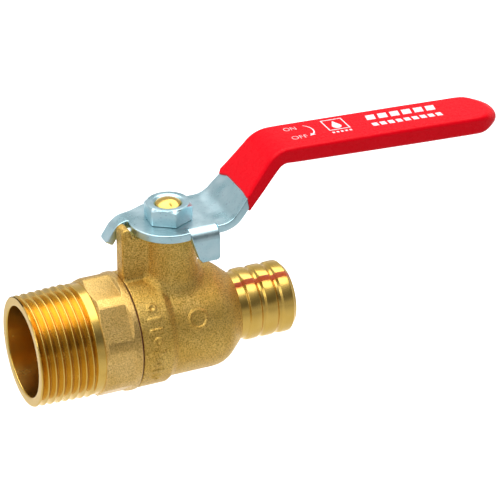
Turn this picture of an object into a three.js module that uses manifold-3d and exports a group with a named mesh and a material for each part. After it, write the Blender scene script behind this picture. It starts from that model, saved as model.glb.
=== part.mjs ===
// Two-piece brass ball valve, 3/4 inch: tapered male pipe thread on the inlet, crimp barb on the outlet,
// and a quarter-turn steel lever with a dipped vinyl grip.
//
// Millimetres. The origin is where the pipe axis meets the stem axis. +X runs along the pipe towards the
// barb, +Z up the stem, and the lever lies along +X, which is the open position.

import * as THREE from 'three';
import { mergeVertices } from 'three/addons/utils/BufferGeometryUtils.js';
import Module from 'manifold-3d';

const wasm = await Module();
wasm.setup();

// ---------------------------------------------------------------- driving dimensions

const GAP = 0.3;                 // clearance between neighbouring pieces
const AROUND = 36;               // facets around the large turned pieces
const AROUND_SMALL = 24;         // facets around the small ones

// waterway, along X
const INLET_FACE = -36.8;
const OUTLET_FACE = 29.4;
const INLET_BORE = 10.8;         // radius
const BARB_BORE = 6.75;
const BALL_RADIUS = 10.4;
const BALL_BORE = 6.9;

// tapered thread on the inlet
const THREAD_PITCH = 25.4 / 14;
const THREAD_TAPER = 1 / 32;     // radius per length
const THREAD_TURNS = 8;
const THREAD_FIRST_CREST = -35.6;
const THREAD_CREST = 13.15;      // radius of the first crest
const THREAD_DEPTH = 1.0;

// end cap and the joint to the body
const RELIEF_RADIUS = 13.25;
const FLATS_START = -21.1;
const FLATS_END = -14.2;
const FLAT_COUNT = 8;
const FLAT_APOTHEM = 13.5;
const FLAT_TURN = -7.5;          // degrees from +Z towards -Y to the middle of the first flat
const CAP_RADIUS = 14.2;
const SEAM = -12.15;             // middle of the gap between cap and body
const SPIGOT_RADIUS = 11.5;
const SPIGOT_END = -6.4;
const SEAT_POCKET = 10.05;       // radius of both seat pockets
const SEAT_FLOOR = 9.8;          // distance from the origin to both pocket floors
const SEAT_INNER = 7.2;          // radii of a seat, and its end nearest to the origin
const SEAT_OUTER = 9.75;
const SEAT_NEAR = 6.3;
const GASKET_INNER = 11.9;       // radii of the cap gasket, and its thickness
const GASKET_OUTER = 12.7;
const GASKET_THICK = 0.5;

// forged body
const COLLAR_RADIUS = 14.1;
const CHAMBER_RADIUS = 12.9;     // outside of the ball chamber
const CHAMBER_BORE = 10.8;
const BARB_ROOT = 8.1;
const BARB_CREST = 8.7;
const BARB_FIRST = 18.75;
const BARB_STEP = 4.15;
const BARB_COUNT = 3;

// neck, stem and packing, along Z
const NECK_RADIUS = 6.2;
const NECK_TOP = 24.95;
const STEM_RADIUS = 4.0;
const STEM_BORE = 4.4;
const POCKET_TOP = 13.9;
const POCKET_RADIUS = 5.9;
const FLANGE_RADIUS = 5.5;
const FLANGE_HEIGHTS = [11.1, 12.5];
const WASHER_HEIGHTS = [12.8, 13.6];
const STEM_TOP = 32.1;
const STEM_THREAD = 2.95;        // radius of the M6 end
const LEVER_SEAT = 3.7;          // radius of the stem inside the lever, and half the width over its flats
const LEVER_SEAT_FLATS = 2.75;
const TANG = [1.25, 3.9];        // half sizes of the tang in X and Y, and the bottom of it
const TANG_BOTTOM = 7.95;
const BALL_SLOT = [1.6, 7.6];    // half width and floor of the slot that the tang turns
const RING_HEIGHTS = [17.2, 20.8];
const RING_RADIUS = 3.5;         // O-ring centreline and section radii
const RING_SECTION = 0.58;
const GROOVE_RADIUS = 2.6;
const GROOVE_HALF = 0.9;

// stop fin
const FIN_HALF = 2.0;
const FIN_OUTER = -12.3;
const FIN_WEB_TOP = 24.6;
const LUG_INNER = -10.0;
const LUG_TOP = 26.9;

// lever, bent from one strip; X and Z of its bends are those of the strip's middle plane
const PLATE_BOTTOM = 25.1;
const PLATE_THICK = 2.0;
const HUB_RADIUS = 9.3;
const HUB_HALF = 8.4;            // half width where the arm leaves the hub
const GRIP_HALF = 5.25;          // half width inside the grip
const TAPER_START = 12.5;        // X where the arm starts to narrow, and where it has its grip width
const TAPER_END = 28.0;
const ARM_START = 12.5;
const GRIP_START = [25.3, 40.2];
const GRIP_FALL = 2.5;           // degrees, fall of the grip towards its tip
const TIP = 84.1;
const TIP_LENGTH = 8.0;          // length of the elliptical end of the grip
const LOWER_BEND = 6.0;          // radii of the bends
const UPPER_BEND = 5.2;
const TONGUE_BEND = 3.6;
const TAB_BEND = 1.8;
const TONGUE_SIDES = [2.3, 6.1]; // Y of the tongue's edges
const TONGUE_START = -11.0;
const TONGUE_END = [-13.8, 21.8];
const TAB_FACE = -9.6;           // Y of the tab's outer face
const TAB_BOTTOM = 18.9;
// X of the tab's leading edge above and below, and of its trailing edge
const TAB_SIDES = [1.6, 4.5, 9.0];
const SLEEVE_WALL = 1.05;
const SLEEVE_GAP = 0.1;
const SLEEVE_START = [16.9, 30.95];
const SLEEVE_SLANT = 0.8;        // rise of its mouth along the arm, per distance across its thickness

// lever nut
const NUT_FLATS = 10.0;
const NUT_HEIGHT = 4.2;
const NUT_TURN = -4;             // degrees about the stem

// ---------------------------------------------------------------- materials

const finish = (color, roughness, metalness) => (
  new THREE.MeshStandardMaterial({ color, roughness, metalness }));
const forgedBrass = finish(0xc9a25a, 0.55, 1.0);
const turnedBrass = finish(0xd9b25e, 0.25, 1.0);
const chromedBrass = finish(0xd8dadb, 0.1, 1.0);
const zincPlate = finish(0xb4c4c6, 0.32, 1.0);
const redVinyl = finish(0xf0122c, 0.35, 0.0);
const whiteSeat = finish(0xf2f2ee, 0.45, 0.0);
const blackRubber = finish(0x1c1c1e, 0.6, 0.0);
const fibre = finish(0x6b2f22, 0.8, 0.0);

// ---------------------------------------------------------------- solids from geometries

const radians = THREE.MathUtils.degToRad;
const sin = (degrees) => Math.sin(radians(degrees));
const cos = (degrees) => Math.cos(radians(degrees));

function signedVolume(positions, triangles) {
  const corner = [0, 1, 2].map(() => new THREE.Vector3());
  let sum = 0;
  for (let i = 0; i < triangles.length; i += 3) {
    corner.forEach((point, k) => point.fromArray(positions, 3 * triangles[i + k]));
    sum += corner[0].dot(corner[1].clone().cross(corner[2]));
  }
  return sum / 6;
}

function solid(geometry) {
  const bare = geometry.clone();
  bare.deleteAttribute('normal');
  bare.deleteAttribute('uv');
  const merged = mergeVertices(bare, 1e-4);
  const vertProperties = new Float32Array(merged.attributes.position.array);
  const kept = [];
  for (let i = 0; i < merged.index.count; i += 3) {
    const [a, b, c] = [0, 1, 2].map((k) => merged.index.getX(i + k));
    if (a !== b && b !== c && c !== a) kept.push(a, b, c);
  }
  if (signedVolume(vertProperties, kept) < 0) kept.reverse();
  return new wasm.Manifold(new wasm.Mesh({ numProp: 3, vertProperties, triVerts: new Uint32Array(kept) }));
}

function geometryOf(manifold) {
  const mesh = manifold.getMesh();
  const geometry = new THREE.BufferGeometry();
  geometry.setAttribute('position', new THREE.BufferAttribute(new Float32Array(mesh.vertProperties), 3));
  geometry.setIndex(new THREE.BufferAttribute(new Uint32Array(mesh.triVerts), 1));
  const flat = geometry.toNonIndexed();
  flat.computeVertexNormals();
  return flat;
}

// A profile is a list of [distance along the axis, radius]; it is closed through the axis or on itself.
function turned(profile, around = AROUND) {
  return new THREE.LatheGeometry(profile.map(([along, radius]) => new THREE.Vector2(radius, along)), around);
}

const turnedZ = (profile, around) => solid(turned(profile, around).rotateX(Math.PI / 2));
const turnedX = (profile, around) => solid(turned(profile, around).rotateZ(-Math.PI / 2));
const ring = (profile) => [...profile, profile[0]];

function box(low, high) {
  const size = high.map((value, axis) => value - low[axis]);
  const middle = high.map((value, axis) => (value + low[axis]) / 2);
  return solid(new THREE.BoxGeometry(...size).translate(...middle));
}

function prism(points, depth) {
  const outline = new THREE.Shape(points.map(([x, y]) => new THREE.Vector2(x, y)));
  return new THREE.ExtrudeGeometry(outline, { depth, bevelEnabled: false, curveSegments: 6 });
}

function arc(centre, radius, from, to, steps) {
  return Array.from({ length: steps + 1 }, (_, i) => {
    const angle = from + (to - from) * i / steps;
    return [centre[0] + radius * cos(angle), centre[1] + radius * sin(angle)];
  });
}

// ---------------------------------------------------------------- end cap

function threadProfile() {
  const points = [[INLET_FACE, THREAD_CREST - THREAD_DEPTH]];
  for (let turn = 0; turn < THREAD_TURNS; turn += 1) {
    const crest = THREAD_FIRST_CREST + turn * THREAD_PITCH;
    const radius = THREAD_CREST + turn * THREAD_PITCH * THREAD_TAPER;
    points.push([crest, radius], [crest + THREAD_PITCH / 2, radius - THREAD_DEPTH]);
  }
  return points;
}

function endCap() {
  const outside = [
    [INLET_FACE, 0],
    ...threadProfile(),
    [FLATS_START - 2.0, RELIEF_RADIUS],
    [FLATS_START, RELIEF_RADIUS],
    [FLATS_START + 0.5, CAP_RADIUS],
    [SEAM - GAP / 2 - 0.3, CAP_RADIUS],
    [SEAM - GAP / 2, CAP_RADIUS - 0.3],
    [SEAM - GAP / 2, SPIGOT_RADIUS],
    [SPIGOT_END, SPIGOT_RADIUS],
    [SPIGOT_END, 0],
  ];
  const waterway = [
    [INLET_FACE - 1, 0],
    [INLET_FACE - 1, INLET_BORE],
    [-15.5, INLET_BORE],
    [-12.8, BALL_BORE],
    [-SEAT_FLOOR, BALL_BORE],
    [-SEAT_FLOOR, SEAT_POCKET],
    [SPIGOT_END + 1, SEAT_POCKET],
    [SPIGOT_END + 1, 0],
  ];
  const across = FLAT_APOTHEM / cos(180 / FLAT_COUNT);
  const flats = solid(new THREE.CylinderGeometry(across, across, 60, FLAT_COUNT)
    .rotateZ(-Math.PI / 2)
    .rotateX(radians(180 / FLAT_COUNT + FLAT_TURN)));
  const band = turnedX([[FLATS_START - 0.2, 0], [FLATS_START - 0.2, 16], [FLATS_END, 16], [FLATS_END, 0]]);
  return turnedX(outside).subtract(band.subtract(flats)).subtract(turnedX(waterway));
}

function capGasket() {
  const [start, end] = [SEAM + GAP / 2, SEAM + GAP / 2 + GASKET_THICK];
  const [inner, outer] = [GASKET_INNER, GASKET_OUTER];
  return turnedX(ring([[start, inner], [start, outer], [end, outer], [end, inner]]));
}

// ---------------------------------------------------------------- body

function barbProfile() {
  const points = [];
  for (let rib = 0; rib < BARB_COUNT; rib += 1) {
    const crest = BARB_FIRST + rib * BARB_STEP;
    points.push([crest - 1.7, BARB_ROOT], [crest - 0.6, BARB_CREST], [crest + 0.7, BARB_CREST]);
    points.push([crest + 1.75, BARB_ROOT]);
  }
  return points;
}

function bodyOutside() {
  const pipe = [
    [SEAM + GAP / 2, 0],
    [SEAM + GAP / 2, COLLAR_RADIUS - 0.3],
    [SEAM + GAP / 2 + 0.3, COLLAR_RADIUS],
    [-5.6, COLLAR_RADIUS],
    [-4.4, 13.8],
    [-3.3, 13.1],
    [-2.3, CHAMBER_RADIUS],
    [6.6, CHAMBER_RADIUS],
    [8.6, 12.65],
    [10.3, 11.95],
    [11.9, 10.8],
    [14.6, 8.4],
    [15.4, BARB_ROOT],
    ...barbProfile(),
    [OUTLET_FACE - 0.5, BARB_ROOT],
    [OUTLET_FACE, 7.7],
    [OUTLET_FACE, 0],
  ];
  const neck = [
    [5, 0],
    [5, 10.0],
    [11.2, 9.6],
    [12.6, 8.3],
    [14.2, 7.3],
    [16.4, 6.7],
    [19.0, NECK_RADIUS + 0.1],
    [NECK_TOP - 0.3, NECK_RADIUS],
    [NECK_TOP, NECK_RADIUS - 0.3],
    [NECK_TOP, 0],
  ];
  return turnedX(pipe).add(turnedZ(neck)).add(stopFin());
}

// The fin's outline in the XZ plane, with the raised lug at its outer end.
function stopFin() {
  const outline = [
    [FIN_OUTER + 0.3, 10],
    [FIN_OUTER + 0.3, 14.6],
    [FIN_OUTER, 15],
    [FIN_OUTER, LUG_TOP - 0.9],
    ...arc([FIN_OUTER + 0.9, LUG_TOP - 0.9], 0.9, 180, 90, 3),
    ...arc([LUG_INNER - 0.7, LUG_TOP - 0.7], 0.7, 90, 0, 3),
    [LUG_INNER, FIN_WEB_TOP + 0.4],
    [LUG_INNER + 0.4, FIN_WEB_TOP],
    [0, FIN_WEB_TOP],
    [0, 10],
  ];
  return solid(prism(outline, 2 * FIN_HALF).rotateX(Math.PI / 2).translate(0, FIN_HALF, 0));
}

function valveBody() {
  const mouth = SEAM + GAP / 2;
  const cavity = [
    [mouth - 1, 0],
    [mouth - 1, GASKET_OUTER + GAP],
    [mouth + GASKET_THICK + GAP, GASKET_OUTER + GAP],
    [mouth + GASKET_THICK + GAP, SPIGOT_RADIUS + GAP],
    [SPIGOT_END + GAP, SPIGOT_RADIUS + GAP],
    [SPIGOT_END + GAP, CHAMBER_BORE],
    [5.2, CHAMBER_BORE],
    [5.2, SEAT_POCKET],
    [SEAT_FLOOR, SEAT_POCKET],
    [SEAT_FLOOR, BARB_BORE],
    [OUTLET_FACE + 1, BARB_BORE],
    [OUTLET_FACE + 1, 0],
  ];
  const stemWay = [
    [0, 0],
    [0, POCKET_RADIUS],
    [POCKET_TOP, POCKET_RADIUS],
    [POCKET_TOP, STEM_BORE],
    [NECK_TOP + 4, STEM_BORE],
    [NECK_TOP + 4, 0],
  ];
  return bodyOutside().subtract(turnedX(cavity)).subtract(turnedZ(stemWay, AROUND_SMALL));
}

// ---------------------------------------------------------------- ball and seats

function ball() {
  const sphere = solid(new THREE.SphereGeometry(BALL_RADIUS, 36, 20));
  const bore = turnedX([[-20, 0], [-20, BALL_BORE], [20, BALL_BORE], [20, 0]], AROUND_SMALL);
  const [half, floor] = BALL_SLOT;
  const slot = box([-half, -20, floor], [half, 20, 20]);
  return sphere.subtract(bore).subtract(slot);
}

// A seat is a ring with a spherical face towards the ball; side is +1 for the outlet and -1 for the inlet.
function seat(side) {
  const [near, far] = [side * SEAT_NEAR, side * (SEAT_FLOOR - GAP)];
  const [inner, outer] = [SEAT_INNER, SEAT_OUTER];
  const blank = turnedX(ring([[near, inner], [near, outer], [far, outer], [far, inner]]));
  return blank.subtract(solid(new THREE.SphereGeometry(BALL_RADIUS + GAP, 36, 20)));
}

// ---------------------------------------------------------------- stem

function stem() {
  const [flangeLow, flangeTop] = FLANGE_HEIGHTS;
  const seat = PLATE_BOTTOM - 0.1;
  const thread = seat + PLATE_THICK;
  const grooves = RING_HEIGHTS.flatMap((z) => [
    [z - GROOVE_HALF, STEM_RADIUS],
    [z - GROOVE_HALF, GROOVE_RADIUS],
    [z + GROOVE_HALF, GROOVE_RADIUS],
    [z + GROOVE_HALF, STEM_RADIUS],
  ]);
  const shank = turnedZ([
    [flangeLow, 0],
    [flangeLow, FLANGE_RADIUS],
    [flangeTop, FLANGE_RADIUS],
    [flangeTop, STEM_RADIUS],
    ...grooves,
    [seat, STEM_RADIUS],
    [seat, LEVER_SEAT],
    [thread, LEVER_SEAT],
    [thread, STEM_THREAD],
    [STEM_TOP - 0.6, STEM_THREAD],
    [STEM_TOP - 0.15, 1.9],
    [STEM_TOP, 0],
  ], AROUND_SMALL);
  const [tangX, tangY] = TANG;
  const insideBall = solid(new THREE.SphereGeometry(BALL_RADIUS - 0.1, 32, 20));
  const tang = box([-tangX, -tangY, TANG_BOTTOM], [tangX, tangY, flangeLow + 0.4])
    .intersect(insideBall.add(box([-4, -4, 9], [4, 4, 12])));
  const flat = box([LEVER_SEAT_FLATS, -9, seat], [9, 9, thread]);
  const notch = box([-0.6, -9, STEM_TOP - 0.7], [0.6, 0, STEM_TOP + 2]);
  return shank.add(tang).subtract(flat).subtract(flat.mirror([1, 0, 0])).subtract(notch);
}

function thrustWasher() {
  const [low, high] = WASHER_HEIGHTS;
  const [inner, outer] = [STEM_RADIUS + 0.35, FLANGE_RADIUS + 0.05];
  return turnedZ(ring([[low, inner], [low, outer], [high, outer], [high, inner]]), AROUND_SMALL);
}

function stemRing(height) {
  return solid(new THREE.TorusGeometry(RING_RADIUS, RING_SECTION, 8, AROUND_SMALL).translate(0, 0, height));
}

// ---------------------------------------------------------------- lever and grip

const MIDDLE = PLATE_BOTTOM + PLATE_THICK / 2;
const heading = ([x0, z0], [x1, z1]) => THREE.MathUtils.radToDeg(Math.atan2(z1 - z0, x1 - x0));
const wrapped = (degrees) => THREE.MathUtils.euclideanModulo(degrees + 180, 360) - 180;

// Rounds the corners of an open path. Each point comes back as [along, up, heading in degrees].
function rounded(corners, radii, steps = 6) {
  const path = [[...corners[0], heading(corners[0], corners[1])]];
  for (let i = 1; i < corners.length - 1; i += 1) {
    const before = heading(corners[i - 1], corners[i]);
    const turn = wrapped(heading(corners[i], corners[i + 1]) - before);
    const radius = radii[i - 1] * Math.sign(turn);
    const back = radius * Math.tan(radians(turn) / 2);
    const centre = [
      corners[i][0] - back * cos(before) - radius * sin(before),
      corners[i][1] - back * sin(before) + radius * cos(before),
    ];
    for (let step = 0; step <= steps; step += 1) {
      const now = before + turn * step / steps;
      path.push([centre[0] + radius * sin(now), centre[1] - radius * cos(now), now]);
    }
  }
  const [last, end] = corners.slice(-2);
  path.push([...end, heading(last, end)]);
  return path;
}

// A strip of metal seen from its side: the path widened by half the thickness to either side.
function strip(path, half) {
  const upper = path.map(([along, up, angle]) => [along - half * sin(angle), up + half * cos(angle)]);
  const lower = path.map(([along, up, angle]) => [along + half * sin(angle), up - half * cos(angle)]);
  return [...upper, ...lower.reverse()];
}

const acrossY = (outline, half) => solid(prism(outline, 2 * half).rotateX(Math.PI / 2).translate(0, half, 0));
const gripEnd = (along) => [along, GRIP_START[1] - (along - GRIP_START[0]) * Math.tan(radians(GRIP_FALL))];

function leverStrip() {
  const corners = [TONGUE_END, [TONGUE_START, MIDDLE], [ARM_START, MIDDLE], GRIP_START, gripEnd(TIP + 10)];
  return acrossY(strip(rounded(corners, [TONGUE_BEND, LOWER_BEND, UPPER_BEND]), PLATE_THICK / 2), 20);
}

function sleeveStrip(half, start) {
  return acrossY(strip(rounded([start, GRIP_START, gripEnd(TIP + 10)], [UPPER_BEND]), half), 20);
}

// Plan outline of the arm and grip, from the stem to a tip that is half an ellipse.
function armPlan(grow, tip) {
  const edge = [[0, HUB_HALF + grow]];
  const steps = 7;
  for (let step = 0; step <= steps; step += 1) {
    const blend = THREE.MathUtils.smoothstep(step / steps, 0, 1);
    const half = THREE.MathUtils.lerp(HUB_HALF, GRIP_HALF, blend) + grow;
    edge.push([THREE.MathUtils.lerp(TAPER_START, TAPER_END, step / steps), half]);
  }
  const centre = TIP - TIP_LENGTH;
  for (const [across, aside] of arc([0, 0], 1, 0, 90, 9).reverse()) {
    edge.push([centre + (tip - centre) * across, (GRIP_HALF + grow) * aside]);
  }
  const mirrored = edge.map(([x, y]) => [x, -y]).reverse();
  return solid(prism([...edge, ...mirrored], 60));
}

// The closed stop: a tab bent down from the hub, with its leading edge slanted.
function stopTab() {
  const plane = TAB_FACE + PLATE_THICK / 2;
  const bent = rounded([[-3, MIDDLE], [plane, MIDDLE], [plane, TAB_BOTTOM]], [TAB_BEND]);
  const sideways = solid(prism(strip(bent, PLATE_THICK / 2), 40)
    .rotateX(Math.PI / 2).rotateZ(Math.PI / 2));
  const [upper, lower, trailing] = TAB_SIDES;
  const above = MIDDLE + 2;
  const outline = [
    [upper, above],
    [upper, MIDDLE + 0.4],
    [lower - 0.8, TAB_BOTTOM + 1.0],
    [lower, TAB_BOTTOM],
    [trailing - 0.8, TAB_BOTTOM],
    [trailing, TAB_BOTTOM + 0.8],
    [trailing, above],
  ];
  return sideways.intersect(acrossY(outline, 20));
}

// The open stop: a tongue that leaves the hub beside the fin. Its plan starts inside the hub.
function tonguePlan() {
  const [near, far] = TONGUE_SIDES;
  const outline = [
    [-3, near],
    [-3, 8.9],
    [-7, 6.95],
    [-9.4, 6.45],
    [TONGUE_START, far],
    [-30, far],
    [-30, near],
  ];
  return solid(prism(outline, 60));
}

function lever() {
  const hub = solid(new THREE.CylinderGeometry(HUB_RADIUS, HUB_RADIUS, 60, AROUND).rotateX(Math.PI / 2));
  const plan = hub.add(tonguePlan()).add(armPlan(0, TIP - SLEEVE_WALL - SLEEVE_GAP));
  const holeRadius = LEVER_SEAT + GAP;
  const holeHalf = LEVER_SEAT_FLATS + GAP;
  const hole = turnedZ([[20, 0], [20, holeRadius], [30, holeRadius], [30, 0]], AROUND_SMALL)
    .intersect(box([-holeHalf, -9, 20], [holeHalf, 9, 30]));
  return leverStrip().intersect(plan).add(stopTab()).subtract(hole);
}

// Everything on the hub's side of the sleeve's slanted mouth.
function belowMouth() {
  const [along, up] = SLEEVE_START;
  const angle = heading(SLEEVE_START, GRIP_START);
  const corner = (off, back) => {
    const run = SLEEVE_SLANT * off - back;
    return [along + run * cos(angle) - off * sin(angle), up + run * sin(angle) + off * cos(angle)];
  };
  return acrossY([corner(6, 0), corner(-6, 0), corner(-6, 12), corner(6, 12)], 20);
}

function gripSleeve() {
  const inner = PLATE_THICK / 2 + SLEEVE_GAP;
  const [along, up] = SLEEVE_START;
  const below = [along - (GRIP_START[0] - along) / 3, up - (GRIP_START[1] - up) / 3];
  const outside = sleeveStrip(inner + SLEEVE_WALL, below).intersect(armPlan(SLEEVE_GAP + SLEEVE_WALL, TIP));
  const inside = sleeveStrip(inner, below).intersect(armPlan(SLEEVE_GAP, TIP - SLEEVE_WALL));
  return outside.subtract(inside).subtract(belowMouth());
}

function leverNut() {
  const bottom = PLATE_BOTTOM + PLATE_THICK + 0.05;
  const top = bottom + NUT_HEIGHT;
  const corner = NUT_FLATS / 2 / cos(30);
  const hexagon = solid(new THREE.CylinderGeometry(corner, corner, 20, 6)
    .rotateX(Math.PI / 2)
    .rotateZ(radians(NUT_TURN))
    .translate(0, 0, top));
  const blank = turnedZ([
    [bottom, 0],
    [bottom, corner],
    [top - 0.7, corner],
    [top, NUT_FLATS / 2 - 0.1],
    [top, 0],
  ]);
  const hole = turnedZ([
    [bottom - 1, 0],
    [bottom - 1, STEM_THREAD + GAP / 2],
    [top - 0.2, STEM_THREAD + GAP / 2],
    [top + 0.4, STEM_THREAD + 0.8],
    [top + 0.4, 0],
  ], AROUND_SMALL);
  return blank.intersect(hexagon).subtract(hole);
}

// ---------------------------------------------------------------- assembly

function named(name, manifold, material) {
  const mesh = new THREE.Mesh(geometryOf(manifold), material);
  mesh.name = name;
  return mesh;
}

const housing = new THREE.Group();
housing.add(
  named('valve_body', valveBody(), forgedBrass),
  named('end_cap', endCap(), turnedBrass),
  named('cap_gasket', capGasket(), fibre),
  named('inlet_seat', seat(-1), whiteSeat),
  named('outlet_seat', seat(1), whiteSeat),
);

const handle = new THREE.Group();
handle.add(
  named('stem', stem(), turnedBrass),
  named('thrust_washer', thrustWasher(), whiteSeat),
  named('stem_o_ring_lower', stemRing(RING_HEIGHTS[0]), blackRubber),
  named('stem_o_ring_upper', stemRing(RING_HEIGHTS[1]), blackRubber),
  named('lever', lever(), zincPlate),
  named('grip_sleeve', gripSleeve(), redVinyl),
  named('lever_nut', leverNut(), zincPlate),
);

const valve = new THREE.Group();
valve.add(housing, handle, named('ball', ball(), chromedBrass));

export default valve;
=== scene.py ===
"""Brass ball valve with a vinyl-dipped steel lever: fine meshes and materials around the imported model.

Meshes are worked out in millimetres in the row frame (+X towards the barb, +Z up the stem) and stored in
metres. The places that other parts depend on are read from the frame's own boxes.
"""

import math
from contextlib import contextmanager

import bmesh
import bpy
import numpy as np
from mathutils import Matrix, Vector


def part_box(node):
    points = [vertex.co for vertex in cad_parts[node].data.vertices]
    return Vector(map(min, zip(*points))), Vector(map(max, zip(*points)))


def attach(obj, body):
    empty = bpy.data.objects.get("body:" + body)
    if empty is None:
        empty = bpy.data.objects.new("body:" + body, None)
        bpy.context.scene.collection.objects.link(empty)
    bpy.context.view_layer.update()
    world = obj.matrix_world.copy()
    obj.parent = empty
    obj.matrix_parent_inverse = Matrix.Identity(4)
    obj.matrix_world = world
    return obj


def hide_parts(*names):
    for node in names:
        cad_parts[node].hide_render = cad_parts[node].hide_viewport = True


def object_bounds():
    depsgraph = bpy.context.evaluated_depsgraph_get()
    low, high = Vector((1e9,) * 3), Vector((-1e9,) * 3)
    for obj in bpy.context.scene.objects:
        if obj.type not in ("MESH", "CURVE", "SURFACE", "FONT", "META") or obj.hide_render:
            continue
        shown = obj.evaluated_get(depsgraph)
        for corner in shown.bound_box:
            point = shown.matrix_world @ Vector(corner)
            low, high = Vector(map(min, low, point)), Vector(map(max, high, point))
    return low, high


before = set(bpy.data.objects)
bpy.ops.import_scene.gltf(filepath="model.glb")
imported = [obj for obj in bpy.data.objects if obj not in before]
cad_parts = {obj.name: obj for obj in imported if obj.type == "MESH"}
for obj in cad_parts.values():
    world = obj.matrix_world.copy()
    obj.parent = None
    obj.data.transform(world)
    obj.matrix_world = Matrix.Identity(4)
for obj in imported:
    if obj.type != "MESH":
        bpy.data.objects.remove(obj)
CAD_LOW, CAD_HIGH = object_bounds()

MM = 0.001


def box_mm(node):
    """Both corners of a CAD node's box, in millimetres."""
    low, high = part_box(node)
    return np.array(low) / MM, np.array(high) / MM


# -------------------- sizes, millimetres

CAP_LOW, CAP_HIGH = box_mm("end_cap")
BODY_LOW, BODY_HIGH = box_mm("valve_body")
NUT_LOW, NUT_HIGH = box_mm("lever_nut")

INLET_FACE = CAP_LOW[0]
SPIGOT_END = CAP_HIGH[0]
CAP_RADIUS = CAP_HIGH[1]
OUTLET_FACE = BODY_HIGH[0]
LUG_TOP = BODY_HIGH[2]
FIN_OUTER = BODY_LOW[0]
BALL_RADIUS = box_mm("ball")[1][2]
STEM_TOP = box_mm("stem")[1][2]
PLATE_TOP = NUT_LOW[2] - 0.05   # the CAD's gap under the nut
TAB_BOTTOM = box_mm("lever")[0][2]
TIP = box_mm("grip_sleeve")[1][0]

# end cap
INLET_BORE = 10.8
FACE_RADIUS = 12.85
THREAD_PITCH = 25.4 / 14
THREAD_TAPER = 1 / 32
THREAD_DEPTH = 1.3
CREST_SHARE = 0.07      # of half a pitch: flat crest, then the slope down to the root
SLOPE_SHARE = 0.85
LEAD_SLOPE = 0.9        # of the chamfer at the inlet face
FIRST_CREST = -35.6
THREAD_TURN = 0.2       # turns by which the helix is set round the pipe
CREST_RADIUS = 13.1
THREAD_END = -22.7
RELIEF_RADIUS = 13.2
FLATS_START = -21.1
FLATS_END = -14.3
FLAT_COUNT = 8
FLAT_APOTHEM = 13.5
FLAT_TURN = math.radians(-7.5)
SPIGOT_RADIUS = 11.5
SEAM_CAP = -12.3
SEAM_BODY = -12.0

# forged body
COLLAR_RADIUS = 13.9
CHAMBER_RADIUS = 12.9
SHOULDER_END = 15.0
NECK_RADIUS = 6.2
NECK_TOP = 24.95
FIN_HALF = 2.0
LUG_INNER = -10.0
FIN_WEB_TOP = 24.6
SEAT_POCKET = 10.05     # radius of the pockets that hold the seats
BODY_BORE = 10.8
STEM_BORE = 4.4
FLANGE_BORE = 5.9
BODY_CELL = 0.25

# barb
BARB_ROOT = 8.1
BARB_CREST = 8.7
BARB_BORE = 6.75
BARB_RIBS = [18.75 + 4.15 * rib for rib in range(3)]

BALL_BORE = 6.9

# stem
STEM_RADIUS = 4.0
FLANGE_RADIUS = 5.5
RING_GROOVES = (17.2, 20.8)
DOME_RADIUS = 4.98
DENT = (0.3, -2.1)      # place of the small dent beside the dome's middle

# lever
PLATE_HALF = 1.0
HUB_RADIUS = 9.3
ARM_HALF = 8.4
GRIP_HALF = 5.25
TAPER_START = 12.5
TAPER_END = 28.0
TIP_LENGTH = 8.0
TIP_POWER = 0.93        # below 1 the tip is a little squarer than an ellipse
ARM_START = 12.5
GRIP_START = (25.3, 40.2)
GRIP_FALL = math.radians(2.5)
TONGUE_START = -11.0
TONGUE_END = (-13.8, 21.8)
TONGUE_NEAR = 2.3
TONGUE_FAR = 6.1
TAB_ROOT = -2.0         # Y where the tab's blank starts, inside the hub
TAB_PLANE = -8.6
TAB_LEFT = 1.7          # X of the tab's sides; its leading side slants to TAB_LOW_LEFT
TAB_LOW_LEFT = 4.5
TAB_RIGHT = 9.0

# dipped sleeve
SLEEVE_HALF = 2.3
SLEEVE_SIDE = 1.25
SLEEVE_MOUTH = 16.9
MOUTH_HALF = 1.45
MOUTH_SIDE = 0.45
MOUTH_SLANT = 0.83
HOLLOW_HALF = PLATE_HALF + 0.12

# lever nut
NUT_APOTHEM = 5.0
NUT_TURN = math.radians(-4)
NUT_CHAMFER = math.radians(38)

AROUND = 256


# -------------------- outlines

def rounded(corners, closed=False, turn_per_step=math.radians(11)):
    """Points of a polyline. A corner given as (a, b, radius) is replaced by an arc of that radius."""
    count = len(corners)
    points = []
    for i, corner in enumerate(corners):
        here = np.array(corner[:2], float)
        radius = corner[2] if len(corner) > 2 else 0.0
        if radius == 0.0 or (not closed and i in (0, count - 1)):
            points.append(here)
            continue
        before = np.array(corners[i - 1][:2], float) - here
        after = np.array(corners[(i + 1) % count][:2], float) - here
        room = 0.499 * min(np.linalg.norm(before), np.linalg.norm(after))
        before /= np.linalg.norm(before)
        after /= np.linalg.norm(after)
        half = math.acos(np.clip(before @ after, -1, 1)) / 2
        if math.pi / 2 - half < 1e-4:
            points.append(here)
            continue
        back = min(radius / math.tan(half), room)
        radius = back * math.tan(half)
        bisector = (before + after) / np.linalg.norm(before + after)
        centre = here + bisector * radius / math.sin(half)
        start = here + before * back - centre
        swing = math.pi - 2 * half
        side = math.copysign(1, before[0] * after[1] - before[1] * after[0])
        steps = max(2, math.ceil(swing / turn_per_step))
        for step in range(steps + 1):
            angle = -side * swing * step / steps
            c, s = math.cos(angle), math.sin(angle)
            points.append(centre + np.array([c * start[0] - s * start[1], s * start[0] + c * start[1]]))
    return np.array(points)


def arc(centre, radius, start, end, steps):
    """Points from one angle in degrees to another. The radius may be one for each point."""
    angles = np.radians(np.linspace(start, end, steps + 1))
    return list(zip(centre[0] + radius * np.cos(angles), centre[1] + radius * np.sin(angles)))


def smoothstep(x, low, high):
    t = np.clip((x - low) / (high - low), 0, 1)
    return t * t * (3 - 2 * t)


# -------------------- meshes

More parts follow.
